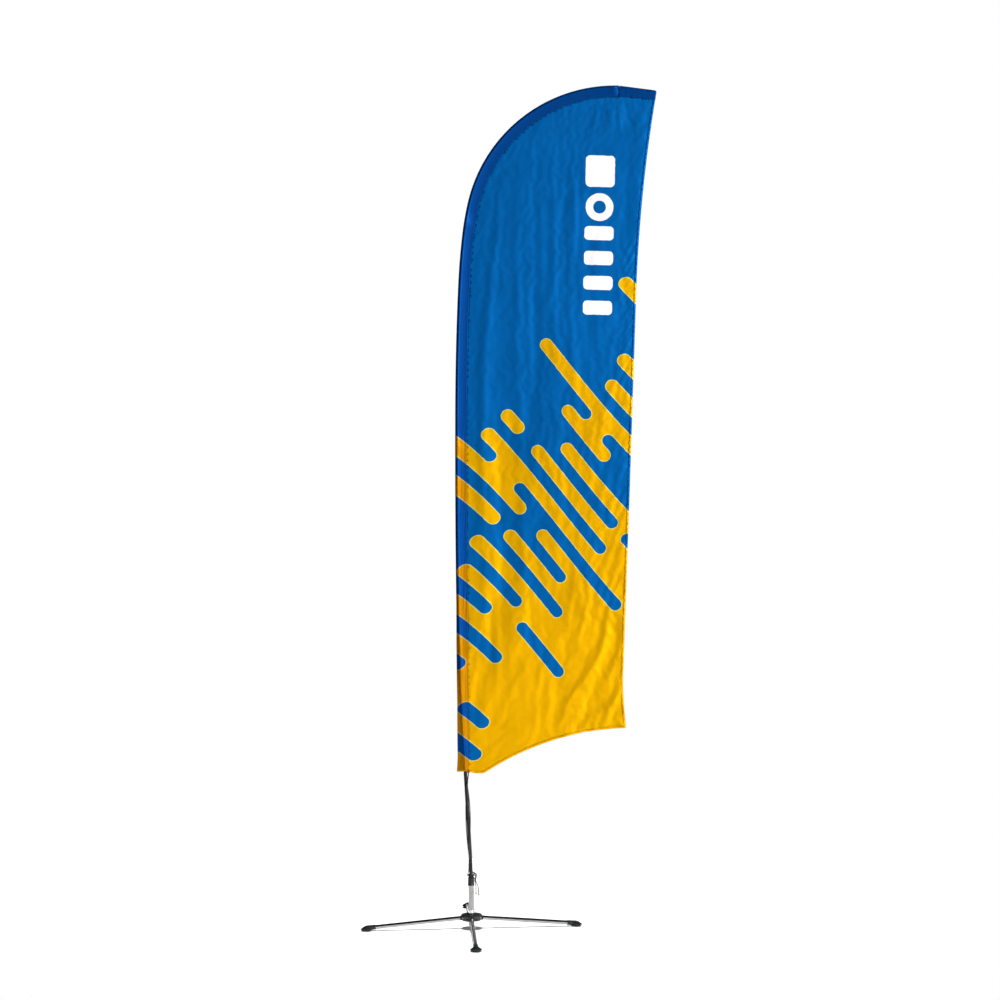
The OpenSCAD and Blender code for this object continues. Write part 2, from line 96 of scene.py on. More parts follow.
# ---- node materials
class Nodes:
    """A short way to write the node tree of a material or of the world."""

    def __init__(self, owner, shader="BsdfPrincipled", out="OutputMaterial"):
        self.owner = bpy.data.materials.new(owner) if isinstance(owner, str) else owner
        self.owner.use_nodes = True
        self.tree = self.owner.node_tree
        self.tree.nodes.clear()
        self.shader = self.add(shader)
        self.link(self.shader.outputs[0], self.add(out).inputs["Surface"])

    def add(self, kind, **values):
        node = self.tree.nodes.new("ShaderNode" + kind)
        for key, value in values.items():
            setattr(node, key, value)
        return node

    def link(self, a, b):
        self.tree.links.new(a, b)

    def fill(self, socket, value):
        if isinstance(value, bpy.types.NodeSocket):
            self.link(value, socket)
        elif isinstance(value, tuple) and len(socket.default_value) == 4 and len(value) == 3:
            socket.default_value = (*value, 1)
        else:
            socket.default_value = value

    def math(self, operation, a, b=0.0):
        node = self.add("Math", operation=operation)
        for socket, value in zip(node.inputs, (a, b)):
            self.fill(socket, value)
        return node.outputs[0]

    def step(self, value, low, high, start=0.0, end=1.0):
        """Goes smoothly from start to end as value goes from low to high."""
        node = self.add("MapRange", interpolation_type="SMOOTHSTEP")
        for key, number in zip(("Value", "From Min", "From Max", "To Min", "To Max"),
                               (value, low, high, start, end)):
            self.fill(node.inputs[key], number)
        return node.outputs[0]

    def mix(self, share, a, b, blend="MIX"):
        node = self.add("Mix", data_type="RGBA", blend_type=blend)
        self.fill(node.inputs[0], share)
        self.fill(node.inputs[6], a)
        self.fill(node.inputs[7], b)
        return node.outputs[2]

    def attribute(self, name):
        return self.add("Attribute", attribute_name=name).outputs["Fac"]

    def place(self, scale=(1, 1, 1)):
        """The piece's own coordinates, in metres, stretched by scale."""
        coordinates = self.add("TexCoord").outputs["Object"]
        node = self.add("Mapping")
        self.link(coordinates, node.inputs["Vector"])
        node.inputs["Scale"].default_value = scale
        return node.outputs[0]

    def noise(self, scale, detail=3.0, rough=0.55, stretch=(1, 1, 1)):
        node = self.add("TexNoise")
        self.link(self.place(stretch), node.inputs["Vector"])
        node.inputs["Scale"].default_value = scale
        node.inputs["Detail"].default_value = detail
        node.inputs["Roughness"].default_value = rough
        return node.outputs["Fac"]

    def bump(self, height, distance, strength=1.0, after=None):
        node = self.add("Bump")
        self.link(height, node.inputs["Height"])
        node.inputs["Distance"].default_value = distance
        node.inputs["Strength"].default_value = strength
        if after is not None:
            self.link(after, node.inputs["Normal"])
        return node.outputs[0]

    def surface(self, **values):
        names = {"color": "Base Color", "rough": "Roughness", "metal": "Metallic",
                 "normal": "Normal", "specular": "Specular IOR Level"}
        for key, value in values.items():
            self.fill(self.shader.inputs[names[key]], value)
        return self.owner


def plastic(name, color, rough, grain, scuff=0.35):
    """Moulded plastic or rubber: fine spark grain, patchy gloss and pale scuffs."""
    n = Nodes(name)
    patches = n.noise(55, 4)
    scuffs = n.step(n.noise(240, 5, 0.7, (1, 1, 0.35)), 0.6, 0.78)
    base = n.mix(n.step(patches, 0.35, 0.7), color, tuple(1.5 * c + 0.004 for c in color))
    pale = tuple(2.2 * c + 0.012 for c in color)
    base = n.mix(n.math("MULTIPLY", scuffs, scuff), base, pale)
    bumps = n.bump(n.noise(grain, 2), 0.0002, 0.5)
    return n.surface(color=base, rough=n.step(patches, 0.3, 0.75, rough - 0.07, rough + 0.1),
                     specular=0.3, normal=bumps)


def metal(name, color, rough, brushed=(1, 1, 1), stain=0.25, depth=0.00004):
    """Polished or brushed metal: drawn streaks, dull patches and faint scratches."""
    n = Nodes(name)
    streaks = n.noise(700, 3, 0.6, brushed)
    patches = n.noise(38, 4)
    base = n.mix(n.math("MULTIPLY", n.step(patches, 0.45, 0.8), stain), color,
                 tuple(0.62 * c for c in color))
    value = n.math("ADD", n.step(streaks, 0.3, 0.7, rough - 0.03, rough + 0.05),
                   n.step(patches, 0.5, 0.85, 0, 0.1))
    return n.surface(color=base, rough=value, metal=1.0, normal=n.bump(streaks, depth, 0.4))


ALONG_X, ALONG_Y, ALONG_Z = (0.03, 1, 1), (1, 0.03, 1), (1, 1, 0.03)
BLUE, YELLOW = (0.0004, 0.118, 0.400), (0.80, 0.410, 0.0002)
CREAM, WHITE = (0.86, 0.84, 0.10), (1.0, 1.0, 1.0)
# Painted shade on the sleeve and the top band: less light through a double layer, shaded flanks.
DOUBLE_LAYER_SHADE = (0.50, 0.40, 0.56)
INK_EDGE = (-0.0004, 0.0004)


def print_color(n, depth=(1, 1, 1)):
    """The print, from the signed distances that the mesh carries. depth darkens a double layer as
    painted shade.
    """
    edge = n.attribute("print_edge")
    ink = n.mix(n.step(edge, *INK_EDGE), BLUE, YELLOW)
    line = n.math("MULTIPLY", n.step(edge, -0.0022, -0.0014),
                  n.step(edge, 0.0010, 0.0018, 1, 0))
    ink = n.mix(n.math("MULTIPLY", line, 0.70), ink, CREAM)
    ink = n.mix(n.step(n.attribute("bar_edge"), *INK_EDGE), ink, WHITE)
    soft = n.step(n.noise(2.3, 3), 0.3, 0.7, 0.95, 1.04)
    grey = n.add("CombineColor")
    for channel, share in zip(grey.inputs, depth):
        n.fill(channel, n.math("MULTIPLY", soft, share))
    return n.mix(1.0, ink, grey.outputs[0], "MULTIPLY")


WEAVE_PITCH, WEAVE_DEPTH = 0.0007, 0.00003
WAVE_UNIT = 0.314  # a wave texture of scale 1 repeats after this many metres


def weave(n):
    """Plain weave of fine yarns, as a bump."""
    rows = []
    for direction in ("X", "Z"):
        wave = n.add("TexWave", bands_direction=direction)
        n.link(n.place(), wave.inputs["Vector"])
        wave.inputs["Scale"].default_value = WAVE_UNIT / WEAVE_PITCH
        wave.inputs["Distortion"].default_value = 0.4
        rows.append(wave.outputs["Fac"])
    return n.bump(n.math("MULTIPLY", *rows), WEAVE_DEPTH, 0.5)


def fabric(name, depth, hems=False):
    """Printed cloth: woven, crumpled a little and matte, with a faint painted shade along a crease
    beside a hem.
    """
    n = Nodes(name)
    color = print_color(n, depth)
    normal = n.bump(n.noise(26, 5, 0.6, (1, 1, 0.45)), 0.0002, 0.5, weave(n))
    if hems:
        # Painted shade: a faint darker line along the hem's inner edge, where its crease lies.
        hem = n.attribute("hem_edge")
        hem_crease_shade = n.math("MULTIPLY", n.step(hem, 0.0088, 0.0100),
                        n.step(hem, 0.0100, 0.0116, 1, 0))
        color = n.mix(n.math("MULTIPLY", hem_crease_shade, 0.05), color, (0, 0.01, 0.05))
    rough = n.step(n.noise(9, 4), 0.3, 0.7, 0.40, 0.50)
    metal = n.step(n.attribute("bar_edge"), *INK_EDGE, 0.45, 0.1)
    return n.surface(color=color, rough=rough, metal=metal, specular=0.03, normal=normal)


def thread(name, lift):
    """Sewing thread in the colour of the print under it, a little paler, with its twist."""
    n = Nodes(name)
    color = n.mix(lift, print_color(n, (0.92, 0.86, 0.92)), (0.45, 0.50, 0.50))
    twist = n.noise(2600, 2, 0.5, (1, 1, 0.5))
    dark = n.mix(1.0, color, (0.8, 0.8, 0.8), "MULTIPLY")
    return n.surface(color=n.mix(n.step(twist, 0.4, 0.7), color, dark), rough=0.6, specular=0.2,
                     normal=n.bump(twist, 0.0001))


BRAID_PITCH, BRAID_STRANDS = 0.0034, 4


def braid(name, color, other, pitch=BRAID_PITCH, strands=BRAID_STRANDS):
    """Braided cord: two sets of yarns that cross, by the run and turn that the mesh carries."""
    n = Nodes(name)
    run = n.math("MULTIPLY", n.attribute("run"), 2 * math.pi / pitch)
    turn = n.math("MULTIPLY", n.attribute("turn"), 2 * math.pi * strands)
    left = n.math("SINE", n.math("ADD", run, turn))
    right = n.math("SINE", n.math("SUBTRACT", run, turn))
    yarn = n.step(n.math("MULTIPLY", left, right), -0.7, 0.8)
    fuzz = n.noise(1800, 3)
    base = n.mix(yarn, other, color)
    base = n.mix(n.math("MULTIPLY", fuzz, 0.3), base, tuple(1.6 * c + 0.01 for c in color))
    return n.surface(color=base, rough=0.75, specular=0.2, normal=n.bump(yarn, 0.00025, 0.8))


MATERIALS = {name: kind(name, *values) for kind, name, *values in (
    (plastic, "black_plastic", (0.013, 0.016, 0.015), 0.36, 900),
    (plastic, "knuckle_nylon", (0.012, 0.012, 0.013), 0.5, 1200),
    (plastic, "ferrule_plastic", (0.008, 0.007, 0.007), 0.4, 1500),
    (plastic, "foot_rubber", (0.012, 0.015, 0.014), 0.55, 1600, 0.6),
    (metal, "chrome_leg_x", (0.38, 0.38, 0.39), 0.13, ALONG_X),
    (metal, "chrome_leg_y", (0.38, 0.38, 0.39), 0.18, ALONG_Y),
    (metal, "chrome_tube", (0.33, 0.335, 0.33), 0.20, ALONG_Z),
    (metal, "collar_metal", (0.72, 0.73, 0.74), 0.25, (1, 1, 8)),
    (metal, "zinc_steel", (0.58, 0.59, 0.61), 0.34),
    (metal, "bearing_steel", (0.66, 0.67, 0.69), 0.16),
    (metal, "spring_steel", (0.10, 0.10, 0.11), 0.38),
    (metal, "cage_brass", (0.72, 0.52, 0.22), 0.30),
    (plastic, "pole_composite", (0.008, 0.007, 0.0065), 0.38, 2200, 0.4),
    (plastic, "cord_ends", (0.11, 0.032, 0.024), 0.4, 1500),
    (braid, "tab_webbing", (0.42, 0.018, 0.012), (0.16, 0.006, 0.005), 0.0030, 1),
    (braid, "cord_black", (0.012, 0.011, 0.010), (0.004, 0.004, 0.004)),
    (braid, "cord_grey", (0.075, 0.066, 0.060), (0.015, 0.013, 0.012)),
    # sleeve_fabric and hem_fabric are darkened by their depth: painted shade of a double layer.
    (fabric, "flag_fabric", (1, 1, 1), True),
    (fabric, "sleeve_fabric", DOUBLE_LAYER_SHADE),
    (fabric, "hem_fabric", (0.97, 0.95, 0.97)),
    (thread, "thread", 0.03),
)}


def dress(obj, material):
    obj.data.materials.clear()
    obj.data.materials.append(MATERIALS[material])


for part in frame["record"]["subparts"]:
    slot_name = part["material_slot"]
    if slot_name == "chrome_leg":
        across = part["node"].split("_")[1] in ("rear", "front")
        slot_name = "chrome_leg_y" if across else "chrome_leg_x"
    dress(frame["nodes"][part["node"]], slot_name)


# ---- mesh helpers
def make(name, verts, faces, material, slot_name=None, replaces=()):
    """A smooth piece that moves with the pole. slot_name is not used."""
    mesh = bpy.data.meshes.new(name)
    mesh.from_pydata([tuple(v) for v in verts], [], [tuple(f) for f in faces])
    mesh.update()
    obj = bpy.data.objects.new(name, mesh)
    scene.collection.objects.link(obj)
    mesh.polygons.foreach_set("use_smooth", [True] * len(mesh.polygons))
    dress(obj, material)
    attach(obj, "pole")
    if replaces:
        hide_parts(*replaces)
    return obj


def carry(obj, name, values):
    """Stores one number per vertex for the material to read."""
    attribute = obj.data.attributes.get(name) or obj.data.attributes.new(name, "FLOAT", "POINT")
    attribute.data.foreach_set("value", np.asarray(values, np.float32))


def points_of(mesh):
    co = np.zeros(len(mesh.vertices) * 3)
    mesh.vertices.foreach_get("co", co)
    return co.reshape(-1, 3)


def settle(obj, co):
    """Moves the vertices to co."""
    obj.data.vertices.foreach_set("co", np.asarray(co, float).ravel())
    obj.data.update()


def modify(obj, kind, **values):
    """Bakes one modifier into the mesh, so none is left on the piece."""
    modifier = obj.modifiers.new(kind.lower(), kind)
    for key, value in values.items():
        setattr(modifier, key, value)
    bpy.context.view_layer.update()
    depsgraph = bpy.context.evaluated_depsgraph_get()
    mesh = bpy.data.meshes.new_from_object(obj.evaluated_get(depsgraph),
                                           preserve_all_data_layers=True, depsgraph=depsgraph)
    obj.modifiers.clear()
    obj.data = mesh


def rings_to_mesh(rings, closed_ends=True):
    """Vertices and faces of a loft through rings of equal count."""
    m, n = len(rings), len(rings[0])
    verts = [p for ring in rings for p in ring]
    faces = [(i * n + k, i * n + (k + 1) % n, (i + 1) * n + (k + 1) % n, (i + 1) * n + k)
             for i in range(m - 1) for k in range(n)]
    if closed_ends:
        faces += [tuple(range(n - 1, -1, -1)), tuple(range((m - 1) * n, m * n))]
    return verts, faces


def run_along(line):
    """How far each point of the line lies along it."""
    return np.r_[0, np.cumsum(np.linalg.norm(np.diff(line, axis=0), axis=1))]


def points_at(line, run, at):
    """The points of the line at the distances in at."""
    return np.column_stack([np.interp(at, run, line[:, k]) for k in range(line.shape[1])])


def equal_steps(line, step):
    """The line's points at equal steps, and how far each lies along it."""
    line = np.array(line)
    run = run_along(line)
    at = np.linspace(0, run[-1], max(2, int(round(run[-1] / step)) + 1))
    return points_at(line, run, at), at


def even(line, step):
    return equal_steps(line, step)[0]


def resample(route, step):
    """A smooth curve through the route's points, cut into equal steps (Catmull-Rom)."""
    p = np.asarray(route, float)
    q = np.vstack([2 * p[0] - p[1], p, 2 * p[-1] - p[-2]])
    fine = []
    for i in range(1, len(q) - 2):
        for t in np.linspace(0, 1, 12, endpoint=False):
            fine.append(0.5 * (2 * q[i] + (q[i + 1] - q[i - 1]) * t
                               + (2 * q[i - 1] - 5 * q[i] + 4 * q[i + 1] - q[i + 2]) * t * t
                               + (3 * q[i] - q[i - 1] - 3 * q[i + 1] + q[i + 2]) * t ** 3))
    return equal_steps(fine + [p[-1]], step)


CORD_SIDES, CORD_RELIEF = 12, 0.06


def cord_mesh(name, route, radius, material, node, step=0.0009, closed=False):
    """A braided cord along a route, in place of a node: its yarns stand out a little."""
    line, run = resample(route, step)
    if closed:
        line[-1] = line[0]
    tangent = np.gradient(line, axis=0)
    tangent /= np.linalg.norm(tangent, axis=1)[:, None]
    side = np.cross(tangent[0], (0.3, 1.0, 0.2))
    rings, turns, runs = [], [], []
    for i, (p, t) in enumerate(zip(line, tangent)):
        side = side - t * side.dot(t)
        side /= np.linalg.norm(side)
        up = np.cross(t, side)
        ends = min(1.0, 0.55 + 0.45 * min(run[i], run[-1] - run[i]) / radius)
        ring = []
        for k in range(CORD_SIDES):
            a = 2 * math.pi * k / CORD_SIDES
            lay, wrap = run[i] * 2 * math.pi / BRAID_PITCH, BRAID_STRANDS * a
            yarn = math.sin(lay + wrap) * math.sin(lay - wrap)
            r = radius * ends * (1 - CORD_RELIEF + CORD_RELIEF * yarn)
            ring.append(p + r * (math.cos(a) * side + math.sin(a) * up))
            turns.append(k / CORD_SIDES)
            runs.append(run[i])
        rings.append(ring)
    verts, faces = rings_to_mesh(rings)
    obj = make(name, verts, faces, material, replaces=(node,))
    carry(obj, "run", runs)
    carry(obj, "turn", turns)
    return obj, line


# ---- free cords: the tether's two tails
MM = 0.001
TAIL_1 = [(14, -6, 222), (17, -8.5, 219), (17.8, -9, 212), (16.5, -8.5, 205), (15.3, -8, 198),
          (15.8, -8.5, 190), (17.3, -9, 182), (18.6, -9.3, 173), (19.1, -9.5, 164), (19, -9.5, 155),
          (18.7, -9.5, 146)]
TAIL_2 = [(16.5, -3, 223.5), (20, -4, 221.5), (21.5, -4.2, 214), (20.3, -4, 206), (18.5, -4, 199),
          (19, -4, 191), (21.8, -4.5, 184), (25, -5, 176), (27.6, -5.5, 167), (29.2, -6, 157),
          (30, -6, 141)]
TAIL_D, FINE_STEP = 0.0036, 0.0006
for number, tail in enumerate((TAIL_1, TAIL_2), 1):
    route = np.array(tail) * MM
    piece, line = cord_mesh(f"tether_tail_{number}", route, TAIL_D / 2, "cord_black",
                            f"cord_tail_{number}", step=FINE_STEP)


# ---- the pole's line
BUTT_Z = 0.090
BOW_START, BOW_LEAN, BOW_R = 2.830, 13.5, 0.604
BOW_L = BOW_R * math.radians(90 - BOW_LEAN)
POLE_L = BOW_START + BOW_L
# distance along the pole in metres, and its lean there in degrees
LEANS = [(0, 0), (0.120, 0), (0.210, -2.6), (0.610, -2.6), (0.910, -1.3), (1.210, -0.3),
         (1.510, 0.2), (1.910, 0.7), (2.110, 1.4), (2.510, 3.4), (2.710, 7.6),
         (BOW_START, BOW_LEAN), (POLE_L, 90)]
SECTION_L, SECTION_PLUG = 0.960, 0.060
POLE_R = [0.00725, 0.00620, 0.00515, 0.00410]
SLEEVE_W, SLEEVE_Z, BOW_OUT, LAP = 0.046, 0.636, 0.009, 0.002
SLEEVE_OUT = [(0.636, 0.034), (0.690, 0.028), (0.920, 0.018), (1.300, 0.0105), (2.000, BOW_OUT)]

_lean_s, _lean_a = np.array(LEANS).T
_s = np.linspace(0, POLE_L, 1201)
_a = np.radians(np.interp((_s[1:] + _s[:-1]) / 2, _lean_s, _lean_a))
_x = np.r_[0, np.cumsum(np.diff(_s) * np.sin(_a))]
_z = np.r_[BUTT_Z, BUTT_Z + np.cumsum(np.diff(_s) * np.cos(_a))]


def on_pole(s, u=0.0):
    """Point of the flag's plane at distance s along the pole and u square to it, into the bow."""
    a = np.radians(np.interp(s, _lean_s, _lean_a))
    return np.interp(s, _s, _x) + u * np.cos(a), np.interp(s, _s, _z) - u * np.sin(a)


def pole_radius(s):
    return POLE_R[sum(s > k * (SECTION_L - SECTION_PLUG) + SECTION_L for k in range(3))]


def sleeve_out(s):
    if s > BOW_START:
        return BOW_OUT
    return float(np.interp(on_pole(s)[1], *np.array(SLEEVE_OUT).T))


TIP_X, TIP_Z = (float(v) for v in on_pole(POLE_L))
SLEEVE_S = SLEEVE_Z - BUTT_Z


def make_lowest_section():
    """The pole section that shows below the sleeve, bent along the pole's line."""
    sides, step, radius = 36, 0.008, POLE_R[0]
    rings = []
    for s in np.linspace(0, SECTION_L, int(SECTION_L / step) + 2):
        a = math.radians(np.interp(s, _lean_s, _lean_a))
        x, z = on_pole(s)
        rings.append([(x + radius * math.cos(t) * math.cos(a), radius * math.sin(t),
                       z - radius * math.cos(t) * math.sin(a))
                      for t in np.linspace(0, 2 * math.pi, sides, endpoint=False)])
    make("pole_lower_length", *rings_to_mesh(rings), "pole_composite", replaces=("pole_section_1",))


make_lowest_section()


# ---- the print, as signed distances
ROW_UNIT = 0.0508
MANY = 60.0
ALL = [(-MANY, MANY)]
# Along-row stretches of the other colour, with round ends: yellow ones on the even rows, which are
# blue, and blue ones on the odd rows, which are yellow. A row that isn't here is all blue.
ROWS = {24: [(0.4, MANY)], 22: [], 20: [(5.1, MANY)], 18: [(6.1, MANY)], 16: [(0.3, MANY)],
        14: [(5.5, 11.0)], 12: [(7.8, MANY)], 10: [(2.8, 5.0), (6.5, MANY)], 8: [(3.0, MANY)],
        6: [(-MANY, 10.1), (12.0, MANY)], 4: [(-MANY, 9.4), (10.4, MANY)], 2: [(9.1, MANY)],
        0: [(10.3, MANY)],
        15: [(-MANY, 7.5), (9.3, MANY)], 11: [(-MANY, 15.6), (16.4, MANY)], 9: [(-MANY, 16.6)],
        7: [(-MANY, 5.4), (7.9, 20.9)], 5: [(-MANY, 16.4)], 3: [(-MANY, 18.4)], 1: [(-MANY, 15.7)],
        -1: [(-MANY, 14.6)], -3: [(-MANY, 18.2)], -5: [(-MANY, 16.7)], -7: [(18.8, 21.6)],
        -9: [(-MANY, 23.2)], -11: [], **{row: ALL for row in range(-12, 0, 2)}}
LONE_BLUE = (16.7, 22.2)


def stretches(row):
    """Where the row is yellow if even, blue if odd."""
    return ROWS.get(row, ALL if row % 2 else [])


def is_yellow(row, s):
    """Whether the row is yellow at s, with the round ends counted as outside."""
    inside = any(a + 0.5 < s < b - 0.5 for a, b in stretches(row))
    return inside == (row % 2 == 0)


def print_coordinates(x, z):
    """Row number and distance along the row. The rows fan a little: they get steeper inwards."""
    d = x - 0.35
    row = 12.526 * z + 16.06 * d + 1.33 * d ** 2 - 13.19 * d ** 3 - 13.11
    return row, 33.37 + 12.05 * x - 15.58 * z


def print_distance(x, z):
    """Signed distance in metres to the nearest edge of the print, above 0 in yellow."""
    row, s = print_coordinates(np.asarray(x, float), np.asarray(z, float))
    nearest = np.rint(row).astype(int)
    best = np.full(len(row), 1e3)
    sign = np.full(len(row), -1.0)
    for n in np.unique(nearest).tolist():
        here = nearest == n
        rr, ss = row[here] - n, s[here]
        own = np.zeros(here.sum(), bool)
        for a, b in stretches(n):
            own |= (ss > a + 0.5) & (ss < b - 0.5)
            for centre in (a + 0.5, b - 0.5):
                own |= np.hypot(ss - centre, rr) < 0.5
        sign[here] = np.where(own == (n % 2 == 0), 1.0, -1.0)
        distance = best[here]
        for m in (n - 1, n, n + 1):
            r_m = row[here] - m
            for a, b in stretches(m):
                for centre, way in ((a + 0.5, -1), (b - 0.5, 1)):
                    if abs(centre) > MANY / 2:
                        continue
                    faces_out = (ss - centre) * way >= 0
                    ring = np.abs(np.hypot(ss - centre, r_m) - 0.5)
                    corner = np.hypot(ss - centre, np.abs(r_m) - 0.5)
                    distance = np.minimum(distance, np.where(faces_out, ring, corner))
        for m in (n - 1, n):
            stops = sorted({-MANY, MANY} | {v for k in (m, m + 1) for a, b in stretches(k)
                                            for v in (a + 0.5, b - 0.5)})
            for low, high in zip(stops, stops[1:]):
                middle = (low + high) / 2
                if is_yellow(m, middle) == is_yellow(m + 1, middle):
                    continue
                along = np.maximum(0, np.maximum(low - ss, ss - high))
                distance = np.minimum(distance, np.hypot(along, row[here] - m - 0.5))
        best[here] = distance
    along = np.clip(s, LONE_BLUE[0] + 0.5, LONE_BLUE[1] - 0.5)
    lone = 0.5 - np.hypot(s - along, row)
    return np.minimum(sign * np.minimum(best, 1.0), np.maximum(-lone, -1.0)) * ROW_UNIT


# A plain white graphic: a column of rounded bars with a ring among them. Each bar is its distance
# up the column and its height; the column leans a little.
COLUMN_LOW, COLUMN_HIGH, COLUMN_W, BAR_ROUND = (0.5385, 2.450), (0.5600, 3.109), 0.118, 0.016
BARS = [(0.045, 0.056), (0.145, 0.056), (0.245, 0.056), (0.345, 0.056), (0.594, 0.126)]
RING_AT, RING_OUT, RING_IN = 0.450, 0.056, 0.026


def bar_distance(x, z):
    """Signed distance to the white graphic, above 0 inside it."""
    axis = np.subtract(COLUMN_HIGH, COLUMN_LOW)
    axis /= np.linalg.norm(axis)
    p = np.column_stack([x, z]) - COLUMN_LOW
    up, side = p @ axis, np.abs(p @ np.array([axis[1], -axis[0]]))
    from_ring = np.abs(np.hypot(up - RING_AT, side) - (RING_OUT + RING_IN) / 2)
    best = (RING_OUT - RING_IN) / 2 - from_ring
    for at, height in BARS:
        dx = side - COLUMN_W / 2 + BAR_ROUND
        dy = np.abs(up - at) - height / 2 + BAR_ROUND
        outside = np.hypot(np.maximum(dx, 0), np.maximum(dy, 0))
        best = np.maximum(best, BAR_ROUND - outside - np.minimum(np.maximum(dx, dy), 0))
    return np.maximum(best, -1.0)


def carry_print(obj, flat):
    carry(obj, "print_edge", print_distance(flat[:, 0], flat[:, 1]))
    carry(obj, "bar_edge", bar_distance(flat[:, 0], flat[:, 1]))


# ---- the panel's outline
PATCH_X, TOP_Z = TIP_X + 0.016, TIP_Z + 0.009
FREE_EDGE = [(790, 3367), (716, 2960), (698, 2560), (664, 1780), (628, 1000), (627, 900),
             (639, 794)]
LOWER_HEM = [(639, 794), (330, 795), (56, 624)]
LOWER_CORNER = (0.012, 0.627)
SEAM_STEP, EDGE_STEP, CELL = 0.013, 0.013, 0.0155
HEM_W = 0.010


def bends(control, count=40):
    """Points of quadratic curves that share their end points, from millimetres to metres."""
    points = []
    for j in range(0, len(control) - 2, 2):
        p, q, r = (np.array(c) * MM for c in control[j:j + 3])
        for t in np.linspace(0, 1, count, endpoint=False):
            points.append((1 - t) ** 2 * p + 2 * t * (1 - t) * q + t * t * r)
    return points + [np.array(control[-1]) * MM]


SEAM_S = np.linspace(SLEEVE_S, POLE_L, int((POLE_L - SLEEVE_S) / SEAM_STEP) + 1)
SEAM = np.column_stack(on_pole(SEAM_S, SLEEVE_W - np.array([sleeve_out(v) for v in SEAM_S]) - LAP))
TOP = even([(PATCH_X, SEAM[-1][1]), (PATCH_X, TOP_Z), np.array(FREE_EDGE[0]) * MM], EDGE_STEP)
FREE = even(bends(FREE_EDGE), EDGE_STEP)
LOWER = even(bends(LOWER_HEM) + [LOWER_CORNER, SEAM[0]], EDGE_STEP)
OUTLINE = np.vstack([SEAM, TOP[:-1], FREE[:-1], LOWER[:-1]])
HEMMED = np.vstack([FREE, LOWER[1:-3]])


def distance_to_line(points, line, chunk=4000):
    """Distance of each point to a polyline, and the run along it of the nearest place."""
    a, b = line[:-1], line[1:]
    v = b - a
    size = (v ** 2).sum(1)
    run = np.r_[0, np.cumsum(np.sqrt(size))]
    near, along = [], []
    for i in range(0, len(points), chunk):
        p = points[i:i + chunk, None, :] - a[None]
        t = np.clip((p * v[None]).sum(2) / size, 0, 1)
        d = np.linalg.norm(p - t[..., None] * v[None], axis=2)
        k = d.argmin(1)
        near.append(d[np.arange(len(k)), k])
        along.append(run[k] + t[np.arange(len(k)), k] * np.sqrt(size[k]))
    return np.concatenate(near), np.concatenate(along)


def gap(points, line):
    return distance_to_line(points, line)[0]


def inside_outline(points, outline):
    x, y = points[:, 0], points[:, 1]
    result = np.zeros(len(points), bool)
    for (x1, y1), (x2, y2) in zip(outline, np.roll(outline, -1, axis=0)):
        crosses = (y1 > y) != (y2 > y)
        with np.errstate(divide="ignore", invalid="ignore"):
            result ^= crosses & (x < (x2 - x1) * (y - y1) / (y2 - y1) + x1)
    return result


def inner_line(line, inset):
    """The line moved to its right, which is inwards as the outline runs."""
    tangent = np.gradient(line, axis=0)
    tangent /= np.linalg.norm(tangent, axis=1)[:, None]
    return line + inset * np.column_stack([tangent[:, 1], -tangent[:, 0]])


def cut_panel():
    """The panel as it was cut, in triangles, with a line of vertices where the hem ends."""
    hem_line = inner_line(HEMMED, HEM_W)
    hem_line = hem_line[inside_outline(hem_line, OUTLINE) & (gap(hem_line, SEAM) > 0.008)
                        & (gap(hem_line, HEMMED) > HEM_W * 0.93)]
    rows = []
    low, high = OUTLINE.min(0), OUTLINE.max(0)
    for j, z in enumerate(np.arange(low[1], high[1], CELL * math.sqrt(3) / 2)):
        x = np.arange(low[0] + (j % 2) * CELL / 2, high[0], CELL)
        rows.append(np.column_stack([x, np.full(len(x), z)]))
    grid = np.vstack(rows)
    grid = grid + rng.uniform(-0.12, 0.12, grid.shape) * CELL
    edge = gap(grid, np.vstack([OUTLINE, OUTLINE[:1]]))
    grid = grid[inside_outline(grid, OUTLINE) & (edge > 0.6 * CELL)
                & (gap(grid, HEMMED) > HEM_W + 0.55 * CELL)]
    points = np.vstack([OUTLINE, hem_line, grid])
    n = len(OUTLINE)
    edges = [(i, (i + 1) % n) for i in range(n)]
    made = geometry.delaunay_2d_cdt([Vector(p) for p in points], edges, [], 1, 1e-5)
    return np.array([tuple(v) for v in made[0]]), [tuple(f) for f in made[2]]


